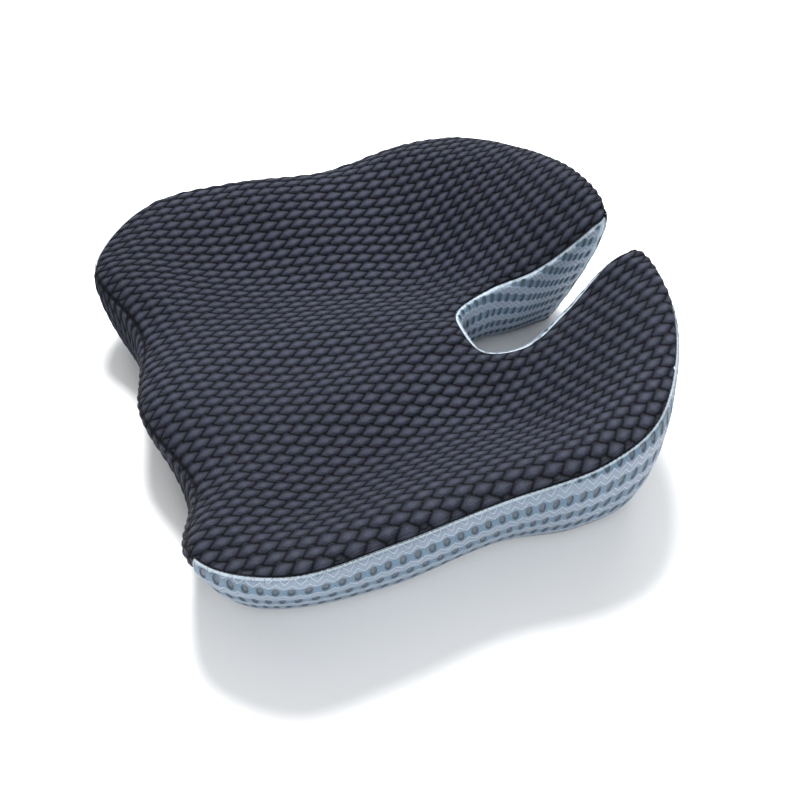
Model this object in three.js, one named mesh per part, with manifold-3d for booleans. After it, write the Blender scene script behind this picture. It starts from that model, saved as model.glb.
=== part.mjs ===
// Contoured coccyx seat cushion: a moulded foam core in a knitted liner, inside a zipped cover of black
// air mesh over a pale blue air-mesh side wall, with a grip-dotted underside.
// Millimetres. +Z is up, the front edge faces -Y, the tailbone notch opens at +Y, and X = 0 is the plane
// of symmetry. The origin is the middle of the footprint, on the surface that the cushion rests on.
import * as THREE from "three";
import { mergeVertices } from "three/addons/utils/BufferGeometryUtils.js";
import Module from "manifold-3d";

const wasm = await Module();
wasm.setup();

// ---------------------------------------------------------------- driving dimensions
const COVER_THICK = 3; // air mesh, a spacer fabric
const COVER_GAP = 0.5; // between the cover and the liner
const FIT_GAP = 0.35; // between the liner and the core
const LINER_THICK = 1;
const TIP_SLACK = 2.5;
const SEAM_HALF = 0.8; // each panel stops this short of its seam line
const BASE_SETBACK = 2.4; // the bottom panel meets the wall at a slant, so it stops further back
const THREAD_HALF = 0.45;
const THREAD_DEEP = 0.9; // below the outer face of the cover

const GRIP_THICK = 0.6; // the grip coating is the lowest thing on the cushion, and stands on z = 0
const PANEL_LOW = 0.8; // the outer face of the bottom panel, and the foot of the side wall
const PANEL_THICK = 1.2;
const LINER_LIFT = 1.6; // from PANEL_LOW up to the liner's base
const GRIP_MARGIN = 8; // bare fabric round the coated field

const ZIP_Y = -115; // the zip crosses the underside behind the front edge
const SLOT_HALF = [160, 9]; // the opening in the bottom panel that the zip closes
const TROUGH_HALF = [163, 19]; // the room pressed into the core above the zip
const TROUGH_TOP = 7.4;
const SLIDER_START = -146; // fully closed
const COIL_ENDS = [-155, 139];

// ---------------------------------------------------------------- outline of the right half
// seam: where the top meets the side wall. foot: the bottom seam, in plan. roll: how far in the rounded
// shoulder reaches, and how far it drops. steps: columns of the mesh from here to the next point.
const OUTLINE = {
  front_centre: { seam: [0, -209, 60], foot: [0, -172], roll: [46, 16], steps: 3 },
  thigh_groove: { seam: [87, -188, 60], foot: [86, -183], roll: [44, 14], steps: 3 },
  front_corner: { seam: [155, -210, 77], foot: [119, -186], roll: [40, 13], steps: 3 },
  corner_side: { seam: [183, -197, 82], foot: [161, -176], roll: [30, 10], steps: 4 },
  front_lobe: { seam: [215, -148, 92], foot: [178, -144], roll: [28, 9], steps: 4 },
  waist_front: { seam: [215, -76, 93], foot: [185, -70], roll: [28, 9], steps: 3 },
  waist_rear: { seam: [206, 9, 92], foot: [176, 24], roll: [28, 9], steps: 3 },
  rear_lobe: { seam: [207, 94, 102], foot: [185, 88], roll: [30, 10], steps: 2 },
  rear_corner: { seam: [186, 147, 111], foot: [174, 138], roll: [32, 11], steps: 2 },
  rear_crest: { seam: [99, 203, 126], foot: [86, 170], roll: [32, 11], steps: 3 },
  tip: { seam: [25, 207, 124], foot: [42, 174], roll: [14, 6], steps: 3 },
  tip_inside: { seam: [20, 191, 116], foot: [38, 158], roll: [16, 5], steps: 5 },
  notch_throat: { seam: [28, 147, 77], foot: [36, 131], roll: [18, 5], steps: 7 },
  notch_wide: { seam: [37, 109, 59], foot: [38, 100], roll: [18, 5], steps: 9 },
  notch_curve: { seam: [26, 75, 55], foot: [27, 67], roll: [18, 5], steps: 6 },
  notch_end: { seam: [0, 66, 62], foot: [0, 56], roll: [18, 5], steps: 0 },
};
const NAMES = Object.keys(OUTLINE);
const LAST = NAMES.length - 1; // notch_end
const TIP = NAMES.indexOf("tip");

// A closed curve through a value of every outline point, and of its mirror image.
function loopCurve(value) {
  const half = NAMES.map((name) => value(OUTLINE[name]));
  const other = half.slice(1, -1).reverse().map(([x, y, z]) => [-x, y, z]);
  const points = [...half, ...other].map((p) => new THREE.Vector3(...p));
  return new THREE.CatmullRomCurve3(points, true, "centripetal");
}
const seamCurve = loopCurve((p) => p.seam);
const footCurve = loopCurve((p) => [...p.foot, PANEL_LOW]);
const rollCurve = new THREE.CatmullRomCurve3(
  NAMES.map((name) => new THREE.Vector3(...OUTLINE[name].roll, 0)),
);

// One column of the mesh: its place on the three curves, at "at" outline points along the half.
function column(at) {
  const t = at / (2 * LAST);
  const tangent = seamCurve.getTangent(t).setZ(0).normalize();
  const roll = rollCurve.getPoint(at / LAST);
  return {
    at,
    seam: seamCurve.getPoint(t),
    foot: footCurve.getPoint(t),
    out: new THREE.Vector3(tangent.y, -tangent.x, 0),
    reach: roll.x,
    drop: roll.y,
  };
}
const columns = NAMES.slice(0, -1).flatMap((name, i) =>
  Array.from({ length: OUTLINE[name].steps }, (_, k) => column(i + k / OUTLINE[name].steps)),
);
columns.push(column(LAST));
const tipAt = columns.findIndex((c) => c.at === TIP);
const HALF = columns.length - 1;

// ---------------------------------------------------------------- the sitting surface
const smooth = (v, a, b) => {
  const t = THREE.MathUtils.clamp((v - a) / (b - a), 0, 1);
  return t * t * (3 - 2 * t);
};
const SEAT_FLOOR = 56;

// Height of the broad contour: a dished seat with side wings, a raised rear, and a ridge between two
// thigh grooves at the front.
function contour(x, y) {
  const wing = 46 * smooth(Math.abs(x), 70, 215);
  const rear = 82 * smooth(y, 42, 212);
  const ridge = 22 * Math.exp(-((x / 40) ** 2)) * smooth(-y, 0, 190);
  const front = 14 * smooth(-y, 73, 213);
  return SEAT_FLOOR + Math.hypot(wing, rear) + ridge + front;
}

const shoulder = (distance, c) => c.drop * Math.max(0, 1 - distance / c.reach) ** 2.2;

// A point of the top, on the row that joins an outer column to its partner on the notch.
function topPoint(outer, inner, f) {
  const length = Math.hypot(outer.seam.x - inner.seam.x, outer.seam.y - inner.seam.y);
  const plain = (g) => {
    const q = outer.seam.clone().lerp(inner.seam, g);
    return contour(q.x, q.y) - shoulder(g * length, outer) - shoulder((1 - g) * length, inner);
  };
  const p = outer.seam.clone().lerp(inner.seam, f);
  const toOuter = (outer.seam.z - plain(0)) * (1 - smooth(f, 0, 1));
  p.z = plain(f) + toOuter + (inner.seam.z - plain(1)) * smooth(f, 0, 1);
  return p;
}

// ---------------------------------------------------------------- the side wall
const WALL_STEPS = 4;

// How far the wall swells out: under the seam, and above the foot, with the height of each as a share.
const SWELL_HIGH = [8, 0.12];
const SWELL_LOW = [19, 0.33];

// Down the wall: it leaves the seam outwards and down, then tucks in to the rounded foot.
function wallPoint(c, v) {
  const high = c.seam.z - PANEL_LOW;
  const a = c.seam.clone().addScaledVector(c.out, SWELL_HIGH[0]);
  const b = c.foot.clone().addScaledVector(c.out, SWELL_LOW[0]);
  a.z -= high * SWELL_HIGH[1];
  b.z += high * SWELL_LOW[1];
  return new THREE.CubicBezierCurve3(c.seam, a, b, c.foot).getPoint(v);
}

// ---------------------------------------------------------------- the skin, as one grid of shared points
// Every layer is this closed skin moved inwards, so that all the layers are parallel.
const TOP_ROWS = [0, 0.04, 0.1, 0.19, 0.3, 0.42, 0.55, 0.69, 0.84, 1];
const BASE_ROWS = [0, 0.5, 1];
const skin = { points: [], faces: [] };
const keyOf = new Map();

function pointIndex(p) {
  if (Math.abs(p.x) < 0.05) p.x = 0; // on the plane of symmetry
  const key = [p.x, p.y, p.z].map((v) => Math.round(v * 1e3)).join();
  if (!keyOf.has(key)) {
    keyOf.set(key, skin.points.length);
    skin.points.push(p);
  }
  return keyOf.get(key);
}

function addQuad(corners, tag) {
  const ids = corners.map(pointIndex).filter((id, i, all) => all.indexOf(id) === i);
  for (let k = 2; k < ids.length; k++) skin.faces.push({ ids: [ids[0], ids[k - 1], ids[k]], tag });
}

const mirrored = (p) => new THREE.Vector3(-p.x, p.y, p.z);

// Adds a patch given as a grid of points of the right half, and its mirror image on the left.
function addPatch(grid, tagOf) {
  for (let i = 0; i + 1 < grid.length; i++) {
    for (let k = 0; k + 1 < grid[i].length; k++) {
      const quad = [grid[i][k], grid[i + 1][k], grid[i + 1][k + 1], grid[i][k + 1]];
      addQuad(quad, tagOf(i, "right"));
      addQuad(quad.map(mirrored).reverse(), tagOf(i, "left"));
    }
  }
}

const partners = columns.slice(0, tipAt + 1).map((c, i) => [c, columns[HALF - i]]);
addPatch(partners.map(([outer, inner]) => TOP_ROWS.map((f) => topPoint(outer, inner, f))), () => "top");
addPatch(partners.map(([outer, inner]) => BASE_ROWS.map((f) => inner.foot.clone().lerp(outer.foot, f))),
  () => "base");

const CORNER_AT = columns.findIndex((c) => c.at === NAMES.indexOf("front_corner")) + 1;
const TIP_SEAM_AT = tipAt + 1;
const wallGrid = columns.map((c) =>
  Array.from({ length: WALL_STEPS + 1 }, (_, k) => wallPoint(c, 1 - k / WALL_STEPS)),
);
addPatch(wallGrid, (i, side) => {
  if (i < CORNER_AT) return "top"; // the top panel falls over the front edge, down to the foot
  return i < TIP_SEAM_AT ? "wall_" + side : "notch";
});

function faceNormal(points, [a, b, c]) {
  const normal = new THREE.Vector3();
  return new THREE.Triangle(points[a], points[b], points[c]).getNormal(normal);
}

// The skin's points, moved in until every face has moved by its own depth: the base by "lift", the rest
// by "depth", and by "slack" more in the narrow tips, which the filling doesn't reach.
// Least squares, held towards the plain average where the faces round a point are parallel.
function layer(depth, lift, slack = 0) {
  const sums = skin.points.map(() => ({ a: [0, 0, 0, 0, 0, 0], b: new THREE.Vector3(), n: new THREE.Vector3() }));
  for (const face of skin.faces) {
    const n = faceNormal(skin.points, face.ids);
    const atTip = smooth(skin.points[face.ids[0]].y, 182, 207);
    const d = face.tag === "base" ? lift : depth + slack * atTip;
    for (const id of face.ids) {
      const s = sums[id];
      [n.x * n.x, n.x * n.y, n.x * n.z, n.y * n.y, n.y * n.z, n.z * n.z].forEach((v, k) => (s.a[k] += v));
      s.b.addScaledVector(n, d);
      s.n.add(n);
    }
  }
  return skin.points.map((p, id) => {
    const { a, b, n } = sums[id];
    const hold = 0.02 * n.length();
    const mean = n.clone().normalize();
    const matrix = new THREE.Matrix3(
      a[0] + hold, a[1], a[2],
      a[1], a[3] + hold, a[4],
      a[2], a[4], a[5] + hold,
    );
    const target = b.clone().addScaledVector(mean, hold * depth);
    return p.clone().sub(target.applyMatrix3(matrix.invert()));
  });
}

// ---------------------------------------------------------------- solids
function geometryOf(points, triangles) {
  const geometry = new THREE.BufferGeometry();
  geometry.setAttribute("position", new THREE.Float32BufferAttribute(points.flatMap((p) => p.toArray()), 3));
  geometry.setIndex(triangles.flat());
  return geometry;
}

// How far each point on the edge of a patch moves back from the seam line.
function seamShift(faces, points, setback) {
  const open = new Map();
  for (const { ids } of faces) {
    ids.forEach((id, k) => {
      const next = ids[(k + 1) % 3];
      if (!open.delete(next + "_" + id)) open.set(id + "_" + next, { id, next, ids });
    });
  }
  const shift = new Map();
  for (const { id, next, ids } of open.values()) {
    const along = points[next].clone().sub(points[id]).normalize();
    const inward = faceNormal(points, ids).cross(along);
    for (const end of [id, next]) shift.set(end, [...(shift.get(end) ?? []), inward]);
  }
  for (const [id, [one, two]] of shift) {
    const spread = Math.max(0.6, 1 + one.dot(two));
    shift.set(id, one.clone().add(two).multiplyScalar(setback / spread));
  }
  return { edges: [...open.values()], shift };
}

// A panel with thickness: the faces with these tags, between an outer and an inner layer.
function panel(tags, outer, inner, setback = SEAM_HALF) {
  const faces = skin.faces.filter((face) => tags.includes(face.tag));
  const { edges, shift } = seamShift(faces, skin.points, setback);
  const used = [...new Set(faces.flatMap((face) => face.ids))];
  const place = new Map(used.map((id, k) => [id, k]));
  const move = (p, id) => (shift.has(id) ? p[id].clone().add(shift.get(id)) : p[id]);
  const points = [...used.map((id) => move(outer, id)), ...used.map((id) => move(inner, id))];
  const low = (id) => place.get(id);
  const high = (id) => place.get(id) + used.length;
  const triangles = faces.flatMap(({ ids: [a, b, c] }) => [
    [low(a), low(b), low(c)],
    [high(a), high(c), high(b)],
  ]);
  for (const { id, next } of edges) {
    triangles.push([low(next), low(id), high(id)], [low(next), high(id), high(next)]);
  }
  return geometryOf(points, triangles);
}

// A four-sided thread laid in the groove along a line of skin points.
function thread(ids, inner, closed, trim) {
  const path = ids.map((id) => skin.points[id].clone());
  const into = ids.map((id) => inner[id].clone().sub(skin.points[id]).normalize());
  const count = path.length;
  if (!closed) {
    for (const [end, next] of [[0, 1], [count - 1, count - 2]]) {
      path[end].add(path[next].clone().sub(path[end]).setLength(trim));
    }
  }
  const points = [];
  path.forEach((p, k) => {
    const before = path[closed ? (k + count - 1) % count : Math.max(0, k - 1)];
    const after = path[closed ? (k + 1) % count : Math.min(count - 1, k + 1)];
    const along = after.clone().sub(before).normalize();
    const side = along.clone().cross(into[k]).normalize();
    const centre = p.clone().addScaledVector(into[k], THREAD_DEEP);
    points.push(centre.clone().addScaledVector(into[k], THREAD_HALF));
    points.push(centre.clone().addScaledVector(side, THREAD_HALF));
    points.push(centre.clone().addScaledVector(into[k], -THREAD_HALF));
    points.push(centre.clone().addScaledVector(side, -THREAD_HALF));
  });
  const triangles = [];
  for (let k = 0; k < (closed ? count : count - 1); k++) {
    for (let j = 0; j < 4; j++) {
      const a = 4 * k + j;
      const b = 4 * k + ((j + 1) % 4);
      const c = (a + 4) % (4 * count);
      const d = (b + 4) % (4 * count);
      triangles.push([a, b, c], [b, d, c]);
    }
  }
  if (!closed) {
    const last = 4 * (count - 1);
    triangles.push([0, 2, 1], [0, 3, 2], [last, last + 1, last + 2], [last, last + 2, last + 3]);
  }
  return geometryOf(points, triangles);
}

// A box from one corner to the other.
function block([x0, y0, z0], [x1, y1, z1]) {
  const geometry = new THREE.BoxGeometry(x1 - x0, y1 - y0, z1 - z0);
  return geometry.translate((x0 + x1) / 2, (y0 + y1) / 2, (z0 + z1) / 2);
}

// An outline in plan, raised from one height to another.
function plate(outline, low, high, curveSegments = 6) {
  const geometry = new THREE.ExtrudeGeometry(outline, { depth: high - low, bevelEnabled: false, curveSegments });
  return geometry.translate(0, 0, low);
}

function manifoldOf(geometry) {
  const bare = new THREE.BufferGeometry();
  bare.setAttribute("position", geometry.getAttribute("position"));
  bare.setIndex(geometry.getIndex());
  const merged = mergeVertices(bare, 1e-4);
  return new wasm.Manifold(new wasm.Mesh({
    numProp: 3,
    vertProperties: new Float32Array(merged.getAttribute("position").array),
    triVerts: new Uint32Array(merged.getIndex().array),
  }));
}

function geometryFrom(manifold) {
  const { numProp, vertProperties, triVerts } = manifold.getMesh();
  const points = [];
  for (let i = 0; i < vertProperties.length; i += numProp) {
    points.push(new THREE.Vector3(...vertProperties.slice(i, i + 3)));
  }
  const triangles = [];
  for (let i = 0; i < triVerts.length; i += 3) triangles.push([...triVerts.slice(i, i + 3)]);
  return geometryOf(points, triangles);
}

const cut = (whole, ...tools) =>
  geometryFrom(tools.reduce((left, tool) => left.subtract(manifoldOf(tool)), manifoldOf(whole)));
const join = (...parts) => geometryFrom(parts.map(manifoldOf).reduce((sum, part) => sum.add(part)));

// ---------------------------------------------------------------- materials and nodes
const group = new THREE.Group();
group.name = "seat_cushion";

function addNode(name, geometry, color, roughness = 0.9, metalness = 0) {
  const mesh = new THREE.Mesh(geometry, new THREE.MeshStandardMaterial({ color, roughness, metalness }));
  mesh.name = name;
  group.add(mesh);
}
const CHARCOAL = "#2d2f38";
const PALE_BLUE = "#a9c3d6";
const BLACK = "#17181b";

// ---------------------------------------------------------------- core and liner
const linerDepth = COVER_THICK + COVER_GAP;
const foamDepth = linerDepth + LINER_THICK + FIT_GAP;
const coverOuter = layer(0, 0);
const coverInner = layer(COVER_THICK, PANEL_THICK);
const linerOuter = layer(linerDepth, LINER_LIFT, TIP_SLACK);
const linerInner = layer(linerDepth + LINER_THICK, LINER_LIFT + LINER_THICK, TIP_SLACK);
const foamSkin = layer(foamDepth, LINER_LIFT + LINER_THICK + FIT_GAP, TIP_SLACK);

// A block round the zip, as high as "top" and wider than the trough by "extra".
const roomOverZip = (extra, low, top) => block(
  [-TROUGH_HALF[0] - extra, ZIP_Y - TROUGH_HALF[1] - extra, low],
  [TROUGH_HALF[0] + extra, ZIP_Y + TROUGH_HALF[1] + extra, top],
);
const linerLow = PANEL_LOW + LINER_LIFT;
const troughShell = TROUGH_TOP + LINER_THICK;

const foam = geometryOf(foamSkin, skin.faces.map((face) => face.ids));
addNode("foam_core", cut(foam, roomOverZip(LINER_THICK + FIT_GAP, 0, troughShell + FIT_GAP)), "#e8e0c8");

const SKIN_TAGS = ["top", "wall_right", "wall_left", "notch"];
addNode("liner_shell", panel(SKIN_TAGS, linerOuter, linerInner), "#f1f0ec");
const linerTrough = join(panel(["base"], linerOuter, linerInner), roomOverZip(LINER_THICK, linerLow, troughShell));
addNode("liner_base", cut(linerTrough, roomOverZip(0, 0, TROUGH_TOP)), "#f1f0ec");

// ---------------------------------------------------------------- cover
addNode("top_panel", panel(["top"], coverOuter, coverInner), CHARCOAL);
addNode("side_band_right", panel(["wall_right"], coverOuter, coverInner), PALE_BLUE);
addNode("side_band_left", panel(["wall_left"], coverOuter, coverInner), PALE_BLUE);
addNode("notch_gusset", panel(["notch"], coverOuter, coverInner), PALE_BLUE);

// A slot with round ends, centred on the zip.
function slotShape(halfLong, halfWide) {
  const shape = new THREE.Shape();
  shape.absarc(halfLong - halfWide, ZIP_Y, halfWide, -Math.PI / 2, Math.PI / 2);
  shape.absarc(halfWide - halfLong, ZIP_Y, halfWide, Math.PI / 2, (3 * Math.PI) / 2);
  return shape;
}
const slotTool = plate(slotShape(...SLOT_HALF), 0, 4);
addNode("bottom_panel", cut(panel(["base"], coverOuter, coverInner, BASE_SETBACK), slotTool), BLACK);

// The coated fields follow the foot of the cushion, and stop clear of the zip. In the narrow tips, points
// that would come too near the other side of the foot are left out.
const GRIP_STOP = SLOT_HALF[1] + 9;
const footLoop = columns.map((c) => c.foot).concat(columns.slice(1, -1).reverse().map((c) => mirrored(c.foot)));
const clearOfFoot = (q) => footLoop.every((p) => Math.hypot(p.x - q.x, p.y - q.y) > 0.9 * GRIP_MARGIN);
const movedIn = footLoop.map((p, k) => {
  const before = footLoop[(k + footLoop.length - 1) % footLoop.length];
  const after = footLoop[(k + 1) % footLoop.length];
  const inward = new THREE.Vector2(before.y - after.y, after.x - before.x).setLength(GRIP_MARGIN);
  return new THREE.Vector2(p.x, p.y).add(inward);
});
const fieldOutline = movedIn.filter(clearOfFoot);

function gripField(keep) {
  return new THREE.Shape(fieldOutline.filter(keep));
}
addNode("grip_coating_front", plate(gripField((p) => p.y < ZIP_Y - GRIP_STOP), 0, GRIP_THICK), BLACK, 0.6);
addNode("grip_coating_rear", plate(gripField((p) => p.y > ZIP_Y + GRIP_STOP), 0, GRIP_THICK), BLACK, 0.6);

// ---------------------------------------------------------------- seams
const idsOf = (points) => points.map(pointIndex);
const withMirror = (points) => [...points, ...points.slice(0, -1).reverse().map(mirrored)];
const seamLine = columns.slice(CORNER_AT).map((c) => c.seam);
const upTheCorner = wallGrid[CORNER_AT].slice(0, -1);
const footLine = wallGrid.map((rise) => rise[0]);
const closedFoot = [...footLine, ...footLine.slice(1, -1).reverse().map(mirrored)];
const tipSeam = wallGrid[TIP_SEAM_AT];

addNode("seam_thread_top", thread(idsOf(withMirror([...upTheCorner, ...seamLine])), coverInner, false, 2),
  "#0f1013");
addNode("seam_thread_bottom", thread(idsOf(closedFoot), coverInner, true), "#0f1013");
addNode("seam_thread_tip_right", thread(idsOf(tipSeam), coverInner, false, 2), "#7f97a8");
addNode("seam_thread_tip_left", thread(idsOf(tipSeam.map(mirrored)), coverInner, false, 2), "#7f97a8");

// ---------------------------------------------------------------- zip
// Half a tape in section, flange to coil, as [distance from the zip's middle, height].
const TAPE_SECTION = [[16.5, 2.2], [9.6, 2.2], [6.6, 4.9], [1.4, 4.9], [1.4, 5.4], [6.9, 5.4], [9.9, 2.7], [16.5, 2.7]];

function tape(side) {
  const outline = TAPE_SECTION.map(([across, up]) => new THREE.Vector2(side * across, up));
  const long = 2 * (TROUGH_HALF[0] - 1.5);
  const geometry = new THREE.ExtrudeGeometry(new THREE.Shape(outline), { depth: long, bevelEnabled: false });
  // section (across, up) and depth become Y, Z and X
  const turn = new THREE.Matrix4().makeBasis(
    new THREE.Vector3(0, 1, 0), new THREE.Vector3(0, 0, 1), new THREE.Vector3(1, 0, 0),
  );
  return geometry.applyMatrix4(turn).translate(-long / 2, ZIP_Y, 0);
}
const sides = { front: -1, rear: 1 };
for (const [name, side] of Object.entries(sides)) {
  const across = (near, far) => [ZIP_Y + side * near, ZIP_Y + side * far].sort((p, q) => p - q);
  const [coilNear, coilFar] = across(0.6, 3);
  const [stitchNear, stitchFar] = across(11.4, 12.2);
  const stitchEnd = SLOT_HALF[0] - SLOT_HALF[1];
  addNode("zip_tape_" + name, tape(side), BLACK);
  addNode("zip_coil_" + name, block([COIL_ENDS[0], coilNear, 3.6], [COIL_ENDS[1], coilFar, 4.8]), BLACK, 0.5);
  addNode("zip_stitch_" + name, block([-stitchEnd, stitchNear, 0.35], [stitchEnd, stitchFar, 0.7]), BLACK);
}
const stop = (x) => block([x, ZIP_Y - 3.1, 3.5], [x + 2.6, ZIP_Y + 3.1, 4.75]);
addNode("zip_stop_closed", stop(COIL_ENDS[0] - 2.9), "#6d6f73", 0.4, 0.9);
addNode("zip_stop_open", stop(COIL_ENDS[1] + 0.3), "#6d6f73", 0.4, 0.9);

// The slider is wide at the nose that opens the coils, and narrow at the tail.
const SLIDER_LOW = 2.75;
const SLIDER_TOP = 6.5;
const NOSE = 6.5;
const sliderPlan = new THREE.Shape();
sliderPlan.moveTo(-6, -3.9);
sliderPlan.lineTo(2, -5);
sliderPlan.quadraticCurveTo(NOSE, -5, NOSE, -2.5);
sliderPlan.lineTo(NOSE, 2.5);
sliderPlan.quadraticCurveTo(NOSE, 5, 2, 5);
sliderPlan.lineTo(-6, 3.9);
sliderPlan.closePath();

const channel = (side) => {
  const [y0, y1] = [0.3 * side, 3.4 * side].sort((p, q) => p - q);
  return block([-8, y0, 3.35], [8, y1, 5.75]);
};
const behindWedge = block([-8, -1, 3.35], [2.5, 1, 5.75]);
const tapeSlit = block([-8, -7, 4.65], [8, 7, 5.65]);
const wedge = block([3, -0.3, 3], [5.8, 0.3, 6]);

// The bail is a flat arch under the slider; the pull's crossbar turns in its eye.
const bailPlan = new THREE.Shape();
bailPlan.moveTo(-3.6, 3);
bailPlan.lineTo(-2.9, 1.1);
bailPlan.quadraticCurveTo(-2.5, 0.7, -2, 0.7);
bailPlan.lineTo(2, 0.7);
bailPlan.quadraticCurveTo(2.5, 0.7, 2.9, 1.1);
bailPlan.lineTo(3.6, 3);
bailPlan.closePath();
const eye = new THREE.Path();
eye.moveTo(-2.2, 1.45);
eye.lineTo(-2.2, 2.75);
eye.lineTo(2.2, 2.75);
eye.lineTo(2.2, 1.45);
eye.closePath();
bailPlan.holes.push(eye);
const bail = plate(bailPlan, -0.8, 0.8).rotateX(Math.PI / 2);

const sliderBody = cut(plate(sliderPlan, SLIDER_LOW, SLIDER_TOP), channel(1), channel(-1), behindWedge, tapeSlit);
const slider = join(sliderBody, bail, wedge).translate(SLIDER_START, ZIP_Y, 0);
addNode("zip_slider", slider, "#5b5d61", 0.35, 0.9);

// The pull: two arms beside the bail, a crossbar through its eye, and a tab with a round hole.
const PIVOT_UP = 2.1;
const pullPlan = new THREE.Shape();
pullPlan.moveTo(-0.5, -2.4);
pullPlan.lineTo(9, -2.4);
pullPlan.quadraticCurveTo(14, -3, 20, -3);
pullPlan.quadraticCurveTo(24, -3, 24, 0);
pullPlan.quadraticCurveTo(24, 3, 20, 3);
pullPlan.quadraticCurveTo(14, 3, 9, 2.4);
pullPlan.lineTo(-0.5, 2.4);
pullPlan.closePath();
const window = new THREE.Path();
window.moveTo(-0.45, -1.2);
window.lineTo(-0.45, 1.2);
window.lineTo(4.4, 1.2);
window.lineTo(4.4, -1.2);
window.closePath();
const tabHole = new THREE.Path();
tabHole.absarc(20, 0, 1.4, 0, 2 * Math.PI, true);
pullPlan.holes.push(window, tabHole);
const pullPlate = plate(pullPlan, PIVOT_UP - 0.42, PIVOT_UP + 0.42);
const crossbar = new THREE.CylinderGeometry(0.45, 0.45, 4.4, 12).translate(0, 0, PIVOT_UP);
addNode("zip_pull", join(pullPlate, crossbar).translate(SLIDER_START, ZIP_Y, 0), "#5b5d61", 0.35, 0.9);

export default group;
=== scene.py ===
# %% [markdown]
# # A contoured seat cushion, made in Blender
# The cushion is a block of moulded foam in a zipped cover. The top is a charcoal air mesh that falls over
# the front edge, and the sides and the tailbone notch are a pale blue air mesh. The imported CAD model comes
# in first, as a fixed frame: every piece made here takes its place from it, in metres, with +Z up, the
# front edge towards -Y and the open end of the notch towards +Y.

# %% Load the frame
import math

import bmesh
import bpy
import numpy as np
from mathutils import Matrix, Vector
from mathutils.kdtree import KDTree


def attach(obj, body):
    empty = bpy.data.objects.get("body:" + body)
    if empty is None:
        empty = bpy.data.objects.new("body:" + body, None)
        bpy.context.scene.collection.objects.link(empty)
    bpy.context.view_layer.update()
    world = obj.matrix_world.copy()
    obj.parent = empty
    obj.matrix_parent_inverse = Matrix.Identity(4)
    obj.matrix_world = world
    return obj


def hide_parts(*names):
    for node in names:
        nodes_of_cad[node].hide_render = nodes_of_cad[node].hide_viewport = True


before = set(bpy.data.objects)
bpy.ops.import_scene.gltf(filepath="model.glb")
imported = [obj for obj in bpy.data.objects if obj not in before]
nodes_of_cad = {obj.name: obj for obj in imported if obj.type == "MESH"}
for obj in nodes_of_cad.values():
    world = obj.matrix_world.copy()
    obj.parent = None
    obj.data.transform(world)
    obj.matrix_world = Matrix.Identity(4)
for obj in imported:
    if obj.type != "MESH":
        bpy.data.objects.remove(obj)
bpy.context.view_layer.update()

MM = 0.001
scene = bpy.context.scene

# %% [markdown]
# ## The outline, as a pattern cutter would mark it
# The real cushion is laid out from two curves: the seam where the top meets the side wall, and the foot of
# the wall underneath. Both are drawn through a handful of marks on the right half and mirrored. A free-hand
# sculpt would also give the shape, but a curve through marks keeps the seam crisp and every panel in step,
# so the marks are the same as in the CAD source. Each row is: seam x, y, z; foot x, y; how far in the
# shoulder reaches and how far it drops; and how many steps of the pattern lead to the next mark. The units
# are millimetres.

# %% Marks of the right half
MARKS = {
    "front_centre": (0, -209, 60, 0, -172, 46, 16, 3),
    "thigh_groove": (87, -188, 60, 86, -183, 44, 14, 3),
    "front_corner": (155, -210, 77, 119, -186, 40, 13, 3),
    "corner_side": (183, -197, 82, 161, -176, 30, 10, 4),
    "front_lobe": (215, -148, 92, 178, -144, 28, 9, 4),
    "waist_front": (215, -76, 93, 185, -70, 28, 9, 3),
    "waist_rear": (206, 9, 92, 176, 24, 28, 9, 3),
    "rear_lobe": (207, 94, 102, 185, 88, 30, 10, 2),
    "rear_corner": (186, 147, 111, 174, 138, 32, 11, 2),
    "rear_crest": (99, 203, 126, 86, 170, 32, 11, 3),
    "tip": (25, 207, 124, 42, 174, 14, 6, 3),
    "tip_inside": (20, 191, 116, 38, 158, 16, 5, 5),
    "notch_throat": (28, 147, 77, 36, 131, 18, 5, 7),
    "notch_wide": (37, 109, 59, 38, 100, 18, 5, 9),
    "notch_curve": (26, 75, 55, 27, 67, 18, 5, 6),
    "notch_end": (0, 66, 62, 0, 56, 18, 5, 0),
}
table = np.array(list(MARKS.values()), float)
PANEL_LOW = 0.8  # the foot of the wall, above the dots that the cushion stands on
LAST = len(MARKS) - 1
steps = np.concatenate([[0], np.cumsum(table[:-1, 7])])
HALF = steps[-1]
TIP_AT = steps[list(MARKS).index("tip")]
CORNER_AT = steps[list(MARKS).index("front_corner")] + 1
TIP_SEAM_AT = TIP_AT + 1
print("pattern steps round one half:", HALF, "tip at", TIP_AT)

# %% Smooth curves through the marks
def through(points, at, closed=True):
    """The centripetal curve through the points, at places counted in points from the first."""
    count = len(points)
    if closed:
        first = np.floor(at).astype(int)
        picks = [points[(first + k) % count] for k in (-1, 0, 1, 2)]
    else:
        first = np.clip(np.floor(at).astype(int), 0, count - 2)
        padded = np.vstack([2 * points[0] - points[1], points, 2 * points[-1] - points[-2]])
        picks = [padded[first + k + 1] for k in (-1, 0, 1, 2)]
    w = (at - first)[:, None]
    chords = [np.linalg.norm(b - a, axis=1) for a, b in zip(picks, picks[1:])]
    d = [np.maximum(np.sqrt(chord), 1e-4)[:, None] for chord in chords]
    p0, p1, p2, p3 = picks
    t1 = ((p1 - p0) / d[0] - (p2 - p0) / (d[0] + d[1]) + (p2 - p1) / d[1]) * d[1]
    t2 = ((p2 - p1) / d[1] - (p3 - p1) / (d[1] + d[2]) + (p3 - p2) / d[2]) * d[1]
    return p1 + t1 * w + (3 * (p2 - p1) - 2 * t1 - t2) * w**2 + (2 * (p1 - p2) + t1 + t2) * w**3


def whole_loop(half):
    """The marks of the right half and their mirror images, once round."""
    return np.vstack([half, half[-2:0:-1] * [-1, 1, 1]])


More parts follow.
